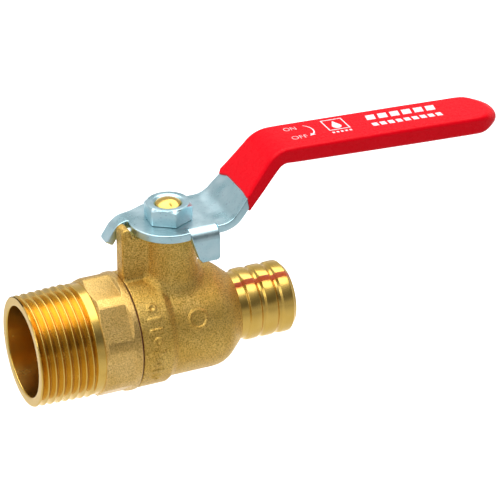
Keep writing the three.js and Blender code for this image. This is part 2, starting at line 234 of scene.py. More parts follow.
def linked(name, data):
    """An object of that data, in the scene."""
    made = bpy.data.objects.new(name, data)
    bpy.context.scene.collection.objects.link(made)
    return made


@contextmanager
def editing(mesh):
    """The mesh as a bmesh, which is written back at the end."""
    work = bmesh.new()
    work.from_mesh(mesh)
    yield work
    work.to_mesh(mesh)
    work.free()


SHARP = math.radians(35)


def smooth(mesh, sharp=SHARP):
    """Smooth shading that stops at edges over that angle."""
    mesh.shade_smooth()
    mesh.set_sharp_from_angle(angle=sharp)


def store(name, vertices, faces, sharp=SHARP, merge=1e-4):
    """A closed mesh object from millimetre points, with doubled points merged and normals outwards."""
    mesh = bpy.data.meshes.new(name)
    mesh.from_pydata([tuple(v) for v in np.asarray(vertices, float)], [], [tuple(f) for f in faces])
    with editing(mesh) as work:
        bmesh.ops.remove_doubles(work, verts=work.verts, dist=merge)
        bmesh.ops.dissolve_degenerate(work, edges=work.edges, dist=merge)
        bmesh.ops.recalc_face_normals(work, faces=work.faces)
        bmesh.ops.scale(work, vec=(MM, MM, MM), verts=work.verts)
    smooth(mesh, sharp)
    return linked(name, mesh)


def weighted(piece):
    """Flat faces keep flat shading beside their small rounded edges."""
    modifier = piece.modifiers.new("flat_faces", "WEIGHTED_NORMAL")
    modifier.keep_sharp = True
    modifier.weight = 80
    return piece


def skin(rows, columns, closed_rows=False, shear=0):
    """Quads of a grid of points. Its last column meets its first one, shear rows further on."""
    used = rows if closed_rows else rows - 1 - shear
    row, column = np.meshgrid(np.arange(used), np.arange(columns), indexing="ij")
    row, column = row.ravel(), column.ravel()
    next_row = (row + 1) % rows
    next_column = (column + 1) % columns
    shift = np.where(next_column == 0, shear, 0)
    corners = [row * columns + column, (row + shift) * columns + next_column]
    corners += [(next_row + shift) * columns + next_column, next_row * columns + column]
    return np.stack(corners, 1)


def along_x(along, radius, angle):
    """Points about the pipe axis; the angle is from +Y towards +Z."""
    along, radius, angle = np.broadcast_arrays(along, radius, angle)
    return np.stack([along, radius * np.cos(angle), radius * np.sin(angle)], -1)


def lathe(name, corners, axis="X", around=AROUND, closed=True):
    """A turned solid. Corners are (along, radius) or (along, radius, rounding)."""
    profile = rounded(corners, closed=closed)
    angles = 2 * np.pi * np.arange(around) / around
    points = along_x(profile[:, :1], profile[:, 1:2], angles[None, :]).reshape(-1, 3)
    if axis == "Z":
        points = points[:, [1, 2, 0]]
    return store(name, points, skin(len(profile), around, closed))


def cut(piece, tool, operation="DIFFERENCE"):
    """Takes the tool out of the piece, or joins it on with the operation UNION."""
    modifier = piece.modifiers.new("cut", "BOOLEAN")
    modifier.operation = operation
    modifier.solver = "EXACT"
    modifier.object = tool
    depsgraph = bpy.context.evaluated_depsgraph_get()
    mesh = bpy.data.meshes.new_from_object(piece.evaluated_get(depsgraph))
    piece.modifiers.clear()
    piece.data = mesh
    smooth(mesh)
    bpy.data.objects.remove(tool)
    return piece


def block(name, low, high):
    corners = [[(low, high)[i >> k & 1][k] for k in range(3)] for i in range(8)]
    faces = [(0, 1, 3, 2), (4, 6, 7, 5), (0, 4, 5, 1), (2, 3, 7, 6), (0, 2, 6, 4), (1, 5, 7, 3)]
    return store(name, corners, faces)


# -------------------- forged body, from a distance field

class Outline:
    """Signed distance to a closed plane outline, negative inside, read from a fine table."""

    STEP = 0.05

    def __init__(self, corners, reach=2.5):
        points = rounded(corners, closed=True)
        self.low = points.min(0) - reach
        size = np.ceil((points.max(0) + reach - self.low) / self.STEP).astype(int) + 1
        a, b = np.meshgrid(*[self.low[k] + self.STEP * np.arange(size[k]) for k in (0, 1)], indexing="ij")
        nearest = np.full(a.shape, 1e9)
        inside = np.zeros(a.shape, bool)
        for (ax, ay), (bx, by) in zip(points, np.roll(points, -1, 0)):
            ex, ey = bx - ax, by - ay
            t = np.clip(((a - ax) * ex + (b - ay) * ey) / max(ex * ex + ey * ey, 1e-12), 0, 1)
            nearest = np.minimum(nearest, np.hypot(a - ax - t * ex, b - ay - t * ey))
            if ay != by:
                inside ^= ((ay > b) != (by > b)) & (a < ex * (b - ay) / ey + ax)
        self.table = np.where(inside, -nearest, nearest).astype(np.float32)

    def __call__(self, a, b):
        u = np.clip((a - self.low[0]) / self.STEP, 0, self.table.shape[0] - 1.001)
        v = np.clip((b - self.low[1]) / self.STEP, 0, self.table.shape[1] - 1.001)
        i, j = u.astype(int), v.astype(int)
        fu, fv = u - i, v - j
        table = self.table
        lower = table[i, j] * (1 - fu) + table[i + 1, j] * fu
        upper = table[i, j + 1] * (1 - fu) + table[i + 1, j + 1] * fu
        return lower * (1 - fv) + upper * fv


def joined(a, b, fillet):
    """Union of two fields with a round fillet between them."""
    corner = np.hypot(np.maximum(fillet - a, 0), np.maximum(fillet - b, 0))
    return np.maximum(fillet, np.minimum(a, b)) - corner


def slab_field(flat, across, half, edge):
    """A plate of a plane outline's shape, with rounded edges."""
    w0, w1 = flat + edge, np.abs(across) - half + edge
    return np.minimum(np.maximum(w0, w1), 0) + np.hypot(np.maximum(w0, 0), np.maximum(w1, 0)) - edge


PIPE = [
    (SEAM_BODY, -4), (SEAM_BODY, COLLAR_RADIUS, 0.3), (-4.8, COLLAR_RADIUS, 1.1), (-3.1, CHAMBER_RADIUS, 1.2),
    (10.4, CHAMBER_RADIUS, 6.8), (SHOULDER_END - 0.15, 8.9, 0.4), (SHOULDER_END, BARB_ROOT - 0.05),
    (SHOULDER_END, -4),
]
NECK = [(9, -4), (9, 7.1), (17.5, 6.45), (NECK_TOP, NECK_RADIUS, 0.35), (NECK_TOP, -4)]
FIN = [
    (FIN_OUTER + 0.25, 10), (FIN_OUTER + 0.25, 14.7), (FIN_OUTER, 15.2, 0.6), (FIN_OUTER, LUG_TOP, 1.1),
    (LUG_INNER, LUG_TOP, 0.9), (LUG_INNER, FIN_WEB_TOP, 0.5), (0, FIN_WEB_TOP), (0, 10),
]
CAVITY = [
    (SEAM_BODY - 2, -4), (SEAM_BODY - 2, SPIGOT_RADIUS + 0.3), (SPIGOT_END + 0.3, SPIGOT_RADIUS + 0.3),
    (SPIGOT_END + 0.3, BODY_BORE), (5.2, BODY_BORE), (5.2, SEAT_POCKET), (9.8, SEAT_POCKET), (9.8, BARB_BORE),
    (SHOULDER_END + 2, BARB_BORE), (SHOULDER_END + 2, -4),
]
STEM_WAY = [
    (0, -4), (0, FLANGE_BORE), (13.9, FLANGE_BORE), (13.9, STEM_BORE), (NECK_TOP + 2, STEM_BORE),
    (NECK_TOP + 2, -4),
]

# Plain raised casting marks: a row of rings (d) and bars (b) at (X, degrees from +Z towards -Y), and one
# larger ring with its radius.
MARK_HEIGHT = 0.28
MARK_RADIUS = 0.8
MARK_BAR_HALF = 1.2
COLLAR_MARKS = [(-8.4, 44 + 11 * i, kind) for i, kind in enumerate("dbbdbdbd")]
RING_MARK = (2.4, 64, 2.1)


def raised_marks(x, y, z):
    """How far the plain casting marks stand out, in millimetres."""
    angle = np.arctan2(-y, z)
    radius = np.hypot(y, z)
    height = np.zeros(x.shape, np.float32)
    for along, degrees, kind in COLLAR_MARKS:
        across = (angle - math.radians(degrees)) * COLLAR_RADIUS
        if kind == "d":
            shape = np.abs(np.hypot(x - along, across) - MARK_RADIUS) - 0.3
        else:
            shape = np.hypot(np.maximum(np.abs(x - along) - MARK_BAR_HALF, 0), across) - 0.4
        height = np.maximum(height, MARK_HEIGHT * (1 - smoothstep(shape, -0.12, 0.14)))
    along, degrees, size = RING_MARK
    across = (angle - math.radians(degrees)) * CHAMBER_RADIUS
    shape = np.abs(np.hypot(x - along, across) - size) - 0.3
    height = np.maximum(height, 1.3 * MARK_HEIGHT * (1 - smoothstep(shape, -0.12, 0.16)))
    return height * (radius > 12)


def body_field():
    pipe, neck, fin = Outline(PIPE), Outline(NECK), Outline(FIN)
    cavity, stem_way = Outline(CAVITY), Outline(STEM_WAY)

    def field(x, y, z):
        about_x, about_z = np.hypot(y, z), np.hypot(x, y)
        outside = joined(pipe(x, about_x), neck(z, about_z), 1.7)
        outside = joined(outside, slab_field(fin(x, z), y, FIN_HALF, 0.45), 0.8)
        outside = outside - raised_marks(x, y, z)
        return np.maximum(outside, -np.minimum(cavity(x, about_x), stem_way(z, about_z)))

    return field


def surface_net(field, low, high, cell):
    """Quads on a field's zero level: one point in each cell that the surface passes through."""
    axes = [np.arange(low[k], high[k] + cell, cell) for k in range(3)]
    values = field(*np.meshgrid(*axes, indexing="ij"))
    inside = values < 0
    cells = [n - 1 for n in inside.shape]
    corner_steps = [(i & 1, i >> 1 & 1, i >> 2 & 1) for i in range(8)]
    held = sum(inside[a:a + cells[0], b:b + cells[1], c:c + cells[2]].astype(int)
               for a, b, c in corner_steps)
    active = (held > 0) & (held < 8)
    where = np.argwhere(active)
    number = np.full(active.shape, -1)
    number[active] = np.arange(len(where))
    corner = {step: values[tuple((where + step).T)] for step in corner_steps}
    total, crossings = np.zeros((len(where), 3)), np.zeros((len(where), 1))
    for start in corner_steps:
        for axis in range(3):
            if start[axis]:
                continue
            end = tuple(s + (k == axis) for k, s in enumerate(start))
            f0, f1 = corner[start], corner[end]
            crosses = (f0 < 0) != (f1 < 0)
            part = np.where(crosses, f0 / np.where(crosses, f0 - f1, 1), 0)
            point = np.array(start, float) + part[:, None] * np.eye(3)[axis]
            total += point * crosses[:, None]
            crossings += crosses[:, None]
    points = (where + total / crossings) * cell + np.array(low)
    faces = []
    for axis in range(3):
        u, v = np.eye(3, dtype=int)[(axis + 1) % 3], np.eye(3, dtype=int)[(axis + 2) % 3]
        first = inside.take(range(cells[axis]), axis)
        second = inside.take(range(1, cells[axis] + 1), axis)
        edges = np.argwhere(first != second)
        limit = np.array(cells) - 1
        edges = edges[np.all(edges - u - v >= 0, 1) & np.all(edges <= limit, 1)]
        around = [number[tuple((edges - step).T)] for step in (0 * u, u, u + v, v)]
        quads = np.stack(around, 1)
        outwards = first[tuple(edges.T)]
        faces.append(np.where(outwards[:, None], quads, quads[:, ::-1]))
    return points, np.concatenate(faces)


def settled(points, faces, field, rounds=3):
    """Evens out a net's points and puts them back on the surface."""
    probe, least_slope, longest_step = 0.04, 0.3, 0.1
    edges = np.concatenate([faces[:, [k, (k + 1) % 4]] for k in range(4)])
    weight = np.zeros((len(points), 1))
    np.add.at(weight, edges.ravel(), 1)
    for _ in range(rounds):
        total = np.zeros_like(points)
        np.add.at(total, edges[:, 0], points[edges[:, 1]])
        np.add.at(total, edges[:, 1], points[edges[:, 0]])
        points = 0.5 * points + 0.5 * total / weight
        for _ in range(2):
            value = field(*points.T)
            slope = [field(*(points + probe * np.eye(3)[k]).T) - field(*(points - probe * np.eye(3)[k]).T)
                     for k in range(3)]
            slope = np.stack(slope, 1) / (2 * probe)
            size = np.maximum((slope ** 2).sum(1), least_slope)
            points = points - slope * np.clip(value / size, -longest_step, longest_step)[:, None]
    return points


def forged_body():
    field = body_field()
    low = (FIN_OUTER - 0.6, -14.5, -14.5)
    high = (SHOULDER_END + 0.6, 14.5, LUG_TOP + 0.6)
    points, faces = surface_net(field, low, high, BODY_CELL)
    points = settled(points, faces, field)
    return store("forged_body", points, faces, sharp=math.radians(50))


# -------------------- turned pieces

def outlet_barb():
    corners = [(SHOULDER_END - 0.7, BARB_BORE), (SHOULDER_END - 0.7, BARB_ROOT)]
    for crest in BARB_RIBS:
        corners += [
            (crest - 1.75, BARB_ROOT, 0.35), (crest - 1.25, BARB_CREST - 0.08, 0.45), (crest, BARB_CREST),
            (crest + 1.2, BARB_CREST - 0.06, 0.45), (crest + 1.7, BARB_ROOT, 0.35),
        ]
    corners += [(OUTLET_FACE - 1.0, BARB_ROOT, 1.0), (OUTLET_FACE, 7.5, 0.45), (OUTLET_FACE, BARB_BORE, 0.2)]
    return lathe("outlet_barb", corners)


def thread_radius(along, phase):
    """Outside of the tapered thread; phase counts turns from a crest."""
    to_crest = np.abs((phase + 0.5) % 1 - 0.5) * 2
    ridge = np.clip((to_crest - CREST_SHARE) / SLOPE_SHARE, 0, 1)
    crest = CREST_RADIUS + (along - FIRST_CREST) * THREAD_TAPER
    radius = crest - THREAD_DEPTH * ridge * smoothstep(along, INLET_FACE + 0.15, INLET_FACE + 0.8)
    lead = FACE_RADIUS + (along - INLET_FACE) * LEAD_SLOPE
    fade = smoothstep(along, THREAD_END - 0.9, THREAD_END - 0.2)
    return np.minimum(radius * (1 - fade) + RELIEF_RADIUS * fade, np.minimum(lead, crest))


def thread_rows(angles):
    """Sheared rows that follow the helix, pressed flat against both ends of the thread."""
    per_turn = 22
    step = THREAD_PITCH / per_turn
    count = math.ceil((THREAD_END - INLET_FACE) / step) + 2 * per_turn + 2
    start = INLET_FACE - THREAD_PITCH - step
    turned = angles / (2 * np.pi)
    along = start + step * np.arange(count)[:, None] + THREAD_PITCH * turned[None, :]
    clamped = np.clip(along, INLET_FACE, THREAD_END)
    phase = (clamped - FIRST_CREST) / THREAD_PITCH - turned[None, :] + THREAD_TURN
    points = along_x(clamped, thread_radius(clamped, phase), angles[None, :])
    return points.reshape(-1, 3), skin(count, len(angles), shear=per_turn)


def flats_radius(along, angles):
    """Outside of the eight-sided band. Its corners are rounded off and its flats run out to the rim."""
    run_out_slope, chamfer_slope, sharpness = 1.1, 1.2, 45.0
    sector = 2 * np.pi / FLAT_COUNT
    turn = np.pi / 2 - FLAT_TURN
    off_middle = (angles - turn + sector / 2) % sector - sector / 2
    flat = FLAT_APOTHEM / np.cos(off_middle) + np.maximum(along - FLATS_END, 0) * run_out_slope
    chamfer = FLAT_APOTHEM - 0.05 + (along - FLATS_START) * chamfer_slope
    blend = sum(np.exp(-sharpness * (limit - CAP_RADIUS)) for limit in (flat, CAP_RADIUS - 0.01, chamfer))
    return CAP_RADIUS - np.log(blend) / sharpness


def inlet_cap():
    angles = 2 * np.pi * (np.arange(AROUND) + 0.5) / AROUND + np.pi / 2 - FLAT_TURN
    thread, thread_faces = thread_rows(angles)
    bands = np.unique(np.concatenate([
        np.linspace(FLATS_START, FLATS_START + 1.2, 13),
        np.linspace(FLATS_START + 1.2, FLATS_END - 0.3, 12),
        np.linspace(FLATS_END - 0.3, FLATS_END + 1.0, 17),
        [SEAM_CAP - 0.7],
    ]))
    outside = [along_x(along, flats_radius(along, angles), angles) for along in bands]
    rim = rounded([(SEAM_CAP - 0.6, CAP_RADIUS - 0.02), (SEAM_CAP, CAP_RADIUS - 0.02, 0.4), (SEAM_CAP, 12.4)])
    inside = rounded([
        (SEAM_CAP, SPIGOT_RADIUS, 0.2), (SPIGOT_END, SPIGOT_RADIUS, 0.3), (SPIGOT_END, SEAT_POCKET, 0.2),
        (-9.8, SEAT_POCKET), (-9.8, BALL_BORE, 0.2), (-12.8, BALL_BORE, 0.3), (-15.5, INLET_BORE, 0.5),
        (INLET_FACE, INLET_BORE, 0.35), (INLET_FACE, FACE_RADIUS),
    ])
    relief = rounded([(THREAD_END, RELIEF_RADIUS), (FLATS_START, RELIEF_RADIUS, 0.25), (FLATS_START, 13.42)])
    rings = [along_x(x, r, angles) for x, r in relief] + outside
    rings += [along_x(x, r, angles) for x, r in rim] + [along_x(x, r, angles) for x, r in inside]
    points = np.concatenate([thread] + [ring[None].reshape(-1, 3) for ring in rings])
    faces = np.concatenate([thread_faces, len(thread) + skin(len(rings), AROUND)])
    return store("inlet_cap", points, faces, sharp=math.radians(40), merge=2e-4)


def seam_bead():
    inner, outer = 11.9, COLLAR_RADIUS - 0.12
    return lathe("seam_bead", [
        (SEAM_CAP + 0.02, inner), (SEAM_CAP + 0.02, outer, 0.1), (SEAM_BODY - 0.02, outer, 0.1),
        (SEAM_BODY - 0.02, inner),
    ])


def seat_ring(name, side):
    """A ring whose face follows the ball. Side is -1 towards the inlet and 1 towards the outlet."""
    near, far = side * 6.3, side * 9.5
    bore, rim = 7.2, 9.75
    reach = BALL_RADIUS + 0.06
    face = [(side * math.sqrt(reach ** 2 - r ** 2), r) for r in np.linspace(8.0, bore, 8)]
    return lathe(name, [(near, rim, 0.2), (near, 8.6, 0.2), *face, (far, bore, 0.15), (far, rim, 0.2)])


def bored_ball():
    mouth = math.degrees(math.asin(BALL_BORE / BALL_RADIUS)) + 1.2
    sphere = arc((0, 0), BALL_RADIUS, mouth, 180 - mouth, 64)
    edge = math.sqrt(BALL_RADIUS ** 2 - BALL_BORE ** 2) - 0.15
    piece = lathe("bored_ball", [*sphere, (-edge, BALL_BORE, 0.1), (edge, BALL_BORE, 0.1)])
    slot_half, slot_floor, past_ball = 1.6, 7.6, 12
    return cut(piece, block("slot", (-slot_half, -past_ball, slot_floor), (slot_half, past_ball, past_ball)))


def stem_shaft():
    flange = [(11.1, 1.2), (11.1, FLANGE_RADIUS, 0.2), (12.5, FLANGE_RADIUS, 0.2), (12.5, STEM_RADIUS)]
    corners = [(8.4, 0), (8.4, 1.2), *flange]
    for groove in RING_GROOVES:
        low, high, floor = groove - 0.9, groove + 0.9, 2.9
        corners += [(low, STEM_RADIUS), (low, floor), (high, floor), (high, STEM_RADIUS)]
    corners += [(PLATE_TOP - 2.1, STEM_RADIUS), (PLATE_TOP - 2.1, 2.85)]
    for turn in range(4):
        crest = PLATE_TOP + 0.4 + turn
        corners += [(crest - 0.5, 2.6), (crest, 2.95)]
    dome = arc((STEM_TOP - 0.02 - DOME_RADIUS, 0), DOME_RADIUS, 36, 0, 12)
    piece = lathe("stem_shaft", corners + dome, axis="Z", around=96, closed=False)
    for vertex in piece.data.vertices:
        x, y, z = (value / MM for value in vertex.co)
        if z > STEM_TOP - 1.2:
            dent = 0.4 * math.exp(-((x - DENT[0]) / 0.8) ** 2 - ((y - DENT[1]) / 0.9) ** 2)
            vertex.co.z -= dent * MM
    return piece


# -------------------- lever, bent from flat blanks

class Path:
    """A bent centreline. Corners are (a, b) or (a, b, bend radius). Flat lengths start at the first one."""

    def __init__(self, corners):
        points = rounded(corners, turn_per_step=math.radians(3))
        steps = np.diff(points, axis=0)
        keep = np.append(True, np.linalg.norm(steps, axis=1) > 1e-6)
        self.points = points[keep]
        steps = np.diff(self.points, axis=0)
        self.length = np.append(0, np.cumsum(np.linalg.norm(steps, axis=1)))
        heading = np.arctan2(steps[:, 1], steps[:, 0])
        middle = (heading[:-1] + heading[1:]) / 2
        self.heading = np.concatenate([heading[:1], middle, heading[-1:]])

    def at(self, flat, off):
        """The place of a point at a flat length, off the centreline to its left."""
        a = np.interp(flat, self.length, self.points[:, 0])
        b = np.interp(flat, self.length, self.points[:, 1])
        heading = np.interp(flat, self.length, self.heading)
        return a - off * np.sin(heading), b + off * np.cos(heading)

    def flat(self, along):
        """The flat length at a place along the first axis."""
        order = np.argsort(self.points[:, 0])
        return np.interp(along, self.points[order, 0], self.length[order])


def slab(name, outline, half, edge, steps=4):
    """A flat blank with rounded edges. Edge is one radius, or one for each outline point."""
    points = np.array(outline, float)
    before, after = np.roll(points, 1, 0), np.roll(points, -1, 0)
    leg0 = (points - before) / np.linalg.norm(points - before, axis=1)[:, None]
    leg1 = (after - points) / np.linalg.norm(after - points, axis=1)[:, None]
    tangent = leg0 + leg1
    tangent /= np.linalg.norm(tangent, axis=1)[:, None]
    turning = np.sum(points[:, 0] * after[:, 1] - points[:, 1] * after[:, 0])
    inward = np.stack([-tangent[:, 1], tangent[:, 0]], 1) * math.copysign(1, turning)
    lengthen = 1 / np.maximum(np.sum(leg0 * tangent, 1), 0.5)
    edge = np.broadcast_to(np.asarray(edge, float), len(points))
    rings = []
    for side in (-1, 1):
        for step in range(steps + 1):
            angle = math.pi / 2 * (step if side < 0 else steps - step) / steps
            inset = edge * (1 - math.sin(angle)) * lengthen
            level = side * (half - np.minimum(edge, half) * (1 - math.cos(angle)))
            ring = points + inward * inset[:, None]
            rings.append(np.column_stack([ring, level]))
    count = len(points)
    faces = [tuple(face) for face in skin(len(rings), count)]
    faces += [tuple(range(count)), tuple((len(rings) - 1) * count + i for i in range(count))]
    return store(name, np.concatenate(rings), faces)


def sliced(piece, cuts):
    """Cuts across a flat blank at those lengths, so that it can bend there."""
    with editing(piece.data) as work:
        for cut_at in cuts:
            everything = work.verts[:] + work.edges[:] + work.faces[:]
            bmesh.ops.bisect_plane(work, geom=everything, plane_co=(cut_at * MM, 0, 0), plane_no=(1, 0, 0))


def bent(piece, path, place=lambda along, aside, height: (along, aside, height)):
    """Lays a flat blank along the path. Place turns (along, aside, height) on the path into X, Y and Z."""
    sliced(piece, path.length[1:-1])
    with editing(piece.data) as work:
        for vertex in work.verts:
            flat, aside, off = (value / MM for value in vertex.co)
            a, b = path.at(flat, off)
            vertex.co = Vector(place(a, aside, b)) * MM
        bmesh.ops.recalc_face_normals(work, faces=work.faces)
    smooth(piece.data)
    return piece


PLATE_MIDDLE = PLATE_TOP - PLATE_HALF
GRIP_PAST = TIP + 5
LEVER_PATH = Path([
    TONGUE_END, (TONGUE_START, PLATE_MIDDLE, 3.6), (ARM_START, PLATE_MIDDLE, 6.0), (*GRIP_START, 5.2),
    (GRIP_PAST, GRIP_START[1] - (GRIP_PAST - GRIP_START[0]) * math.tan(GRIP_FALL)),
])


def arm_half(along):
    return ARM_HALF + (GRIP_HALF - ARM_HALF) * smoothstep(along, TAPER_START, TAPER_END)


def on_blank(outline):
    """Points given by their X on the finished lever, as points of its flat blank."""
    return [(LEVER_PATH.flat(x), y) for x, y in outline]


def arm_side(tip, grow):
    """The arm's far side from the hub to the middle of its rounded tip, on the flat blank."""
    centre = TIP - TIP_LENGTH
    # (start, end, number of places)
    stretches = (5, TAPER_START - 0.5, 3), (TAPER_START + 0.5, TAPER_END, 16), (31, centre - 1, 10)
    places = np.concatenate([np.linspace(*stretch) for stretch in stretches])
    side = [(x, arm_half(x) + grow) for x in places]
    for x, y in arc((0, 0), 1, 90, 0, 23):
        side.append((centre + (tip - centre) * max(x, 0) ** TIP_POWER, (GRIP_HALF + grow) * y ** TIP_POWER))
    return on_blank(side)


def both_sides(side):
    """An outline round the tip: the side's mirror image and then the side."""
    return [(x, -y) for x, y in side] + side[::-1][1:]


def hub_outline():
    """The hub and the tongue, from the far side of the arm round to its near side, on the flat blank."""
    far = arc((0, 0), HUB_RADIUS, 64, 106, 11)
    near = arc((0, 0), HUB_RADIUS, 170, 296, 35)
    neck = (TONGUE_START - 0.2, TONGUE_FAR)
    shoulder = rounded([far[-1], (-7.0, 7.0, 4.0), neck])[1:-1]
    notch = rounded([(TONGUE_START - 0.5, TONGUE_NEAR), (-9.0, TONGUE_NEAR, 0.8), near[0]])[1:-1]
    end, inwards = -0.01, 3.0
    tongue = rounded([(inwards, TONGUE_FAR), (end, TONGUE_FAR, 0.7), (end, TONGUE_NEAR, 0.7),
                      (inwards, TONGUE_NEAR)])[1:-1]
    return [*on_blank([*far, *shoulder, neck]), *tongue, *on_blank([*notch, *near])]


def lever_plate():
    outline = hub_outline() + both_sides(arm_side(TIP - 1.15, 0.0))
    piece = slab("lever_plate", outline, PLATE_HALF, 0.28)
    hole_start, hole_end, hole_half = LEVER_PATH.flat(-3.0), LEVER_PATH.flat(3.0), 2.9
    cut(piece, block("hole", (hole_start, -hole_half, -2), (hole_end, hole_half, 2)))
    bent(piece, LEVER_PATH)
    # The hub's rim is cut back where the tab bends down from it.
    room = (TAB_LEFT + 0.05, -12, PLATE_TOP - 3), (TAB_RIGHT - 0.05, -6.8, PLATE_TOP + 1)
    cut(piece, block("tab_room", *room))
    return cut(piece, stop_tab(), "UNION")


def stop_tab():
    """The tab that hangs from the hub's near side. Its blank runs along -Y and then down."""
    reach, fall = TAB_ROOT - TAB_PLANE, PLATE_MIDDLE - TAB_BOTTOM
    path = Path([(0.0, 0.0), (reach, 0.0, 1.8), (reach, -fall)])
    end = path.length[-1]
    bend = end - fall
    outline = rounded([
        (0.2, TAB_LEFT), (bend, TAB_LEFT, 1.5), (end - 1.0, 3.7, 0.6), (end, TAB_LOW_LEFT, 0.6),
        (end, TAB_RIGHT, 0.9), (bend, TAB_RIGHT, 1.5), (0.2, TAB_RIGHT),
    ], closed=True)
    piece = slab("stop_tab", outline, PLATE_HALF - 0.004, 0.3)
    return bent(piece, path, lambda along, aside, height: (aside, TAB_ROOT - along, PLATE_MIDDLE + height))


MOUTH = LEVER_PATH.flat(SLEEVE_MOUTH)
THINS_FROM = [MOUTH, LEVER_PATH.flat(30.0), LEVER_PATH.flat(62.0)]


def sleeve_half(flat):
    """Half thickness of the dipped sleeve, which thins towards its mouth."""
    return np.interp(flat, THINS_FROM, [MOUTH_HALF, 2.1, SLEEVE_HALF])


def sleeve_side(flat):
    """How far the sleeve stands out beyond each side of the steel."""
    return np.interp(flat, [MOUTH, MOUTH + 14], [MOUTH_SIDE, SLEEVE_SIDE])


def thinned(piece):
    """Gives the outside of the sleeve its changing thickness and its slanted mouth."""
    sliced(piece, [MOUTH + step for step in range(1, 5)] + THINS_FROM[1:])
    for vertex in piece.data.vertices:
        flat, off = vertex.co.x / MM, vertex.co.z / MM
        wall = (sleeve_half(flat) - HOLLOW_HALF) / (SLEEVE_HALF - HOLLOW_HALF)
        if abs(off) > HOLLOW_HALF:
            off = math.copysign(HOLLOW_HALF + (abs(off) - HOLLOW_HALF) * wall, off)
        vertex.co.z = off * MM
        vertex.co.x += MOUTH_SLANT * off * (1 - smoothstep(flat, MOUTH, MOUTH + 4)) * MM


def mouth_edge(half):
    """The sleeve's edge at its mouth, whose corners reach towards the hub, the far one most."""
    far_reach, near_reach = 1.1, 0.35
    across = np.linspace(half - 0.9, 0.9 - half, 12)
    return [(MOUTH - (far_reach if y > 0 else near_reach) * smoothstep(abs(y), 4.0, 7.5), y) for y in across]


def vinyl_sleeve():
    side = [(x, y - SLEEVE_SIDE + sleeve_side(x)) for x, y in arm_side(TIP, SLEEVE_SIDE) if x > MOUTH + 1.8]
    mouth_half = arm_half(SLEEVE_MOUTH + 0.1) + MOUTH_SIDE
    side = [
        (MOUTH - 0.2, mouth_half - 0.12),
        (MOUTH + 0.9, arm_half(SLEEVE_MOUTH + 0.6) + sleeve_side(MOUTH + 0.9)),
    ] + side
    body, mouth = both_sides(side), mouth_edge(mouth_half)
    tip_start, tip_end = LEVER_PATH.flat(TIP - 6), LEVER_PATH.flat(TIP)
    edge = [1.05 + 2.05 * smoothstep(x, tip_start, tip_end) for x, y in body] + [0.25] * len(mouth)
    edge[0] = edge[len(body) - 1] = 0.5
    piece = slab("vinyl_sleeve", body + mouth, SLEEVE_HALF, edge, steps=6)
    thinned(piece)
    hollow = [(x, y) for x, y in arm_side(TIP - 1.05, 0.12) if x > MOUTH - 4]
    cut(piece, slab("hollow", both_sides(hollow), HOLLOW_HALF, 0.3))
    return bent(piece, LEVER_PATH)


def lever_nut():
    around = 144
    angles = 2 * np.pi * np.arange(around) / around
    sixth = math.pi / 3
    off_middle = (angles - NUT_TURN + sixth / 2) % sixth - sixth / 2
    corner = NUT_APOTHEM / np.cos(off_middle)
    bottom, top = NUT_LOW[2], NUT_HIGH[2]
    rim = top - np.maximum(corner - NUT_APOTHEM + 0.12, 0) * math.tan(NUT_CHAMFER)
    hole = 3.0
    rings = [
        (bottom, hole + 0.05), (bottom, corner - 0.35), (bottom + 0.08, corner - 0.08),
        (bottom + 0.3, corner), (rim - 0.25, corner), (rim - 0.08, corner - 0.03),
        (rim + 0.02, corner - 0.14), (top - 0.06, NUT_APOTHEM - 0.02), (top, NUT_APOTHEM - 0.25),
        (top, 3.75), (top - 0.05, 3.6), (top - 0.65, hole), (top - 0.8, hole),
    ]
    points = np.concatenate([along_x(height, radius, angles) for height, radius in rings])
    return store("hex_nut", points[:, [1, 2, 0]], skin(len(rings), around, True), sharp=math.radians(30))


# -------------------- print on the grip

PRINT_THICK = 0.03
PRINT_LIFT = 0.012
WORDS_LEFT = 30.4
LETTER_HEIGHT = 1.6
ARROW_CENTRE = (33.9, 0.9)
ARROW_RADIUS = 3.1
FRAME_LOW = (40.4, -1.1)
FRAME_SIZE = (5.4, 5.5)
FRAME_LINE = 0.28


def on_grip(name, mesh):
    """Thickens a flat print, drawn in millimetres with X along the grip, and lays it on the sleeve."""
    with editing(mesh) as work:
        grown = bmesh.ops.extrude_face_region(work, geom=work.faces[:])
        moved = [item for item in grown["geom"] if isinstance(item, bmesh.types.BMVert)]
        bmesh.ops.translate(work, verts=moved, vec=(0, 0, PRINT_THICK))
        bmesh.ops.recalc_face_normals(work, faces=work.faces)
        for vertex in work.verts:
            x, y, lift = vertex.co
            middle = GRIP_START[1] - (x - GRIP_START[0]) * math.tan(GRIP_FALL)
            off = sleeve_half(LEVER_PATH.flat(x)) + PRINT_LIFT + lift
            vertex.co = Vector((x, y, middle + off / math.cos(GRIP_FALL))) * MM
    return linked(name, mesh)


def word(name, text, low, width):
    """A word in Blender's own font, thinned, with its lower edge and width in millimetres."""
    curve = bpy.data.curves.new(name, "FONT")
    curve.body = text
    curve.size = 1.0
    curve.offset = -0.012
    curve.resolution_u = 6
    source = linked(name + "_curve", curve)
    bpy.context.view_layer.update()
    mesh = bpy.data.meshes.new_from_object(source.evaluated_get(bpy.context.evaluated_depsgraph_get()))
    mesh.name = name
    bpy.data.objects.remove(source)
    with editing(mesh) as work:
        bmesh.ops.remove_doubles(work, verts=work.verts, dist=1e-5)
        places = np.array([vertex.co[:2] for vertex in work.verts])
        share = (places - places.min(0)) / np.ptp(places, axis=0)
        for vertex, (x, y) in zip(work.verts, share * (width, LETTER_HEIGHT) + (WORDS_LEFT, low)):
            vertex.co = (x, y, 0)
    return on_grip(name, mesh)


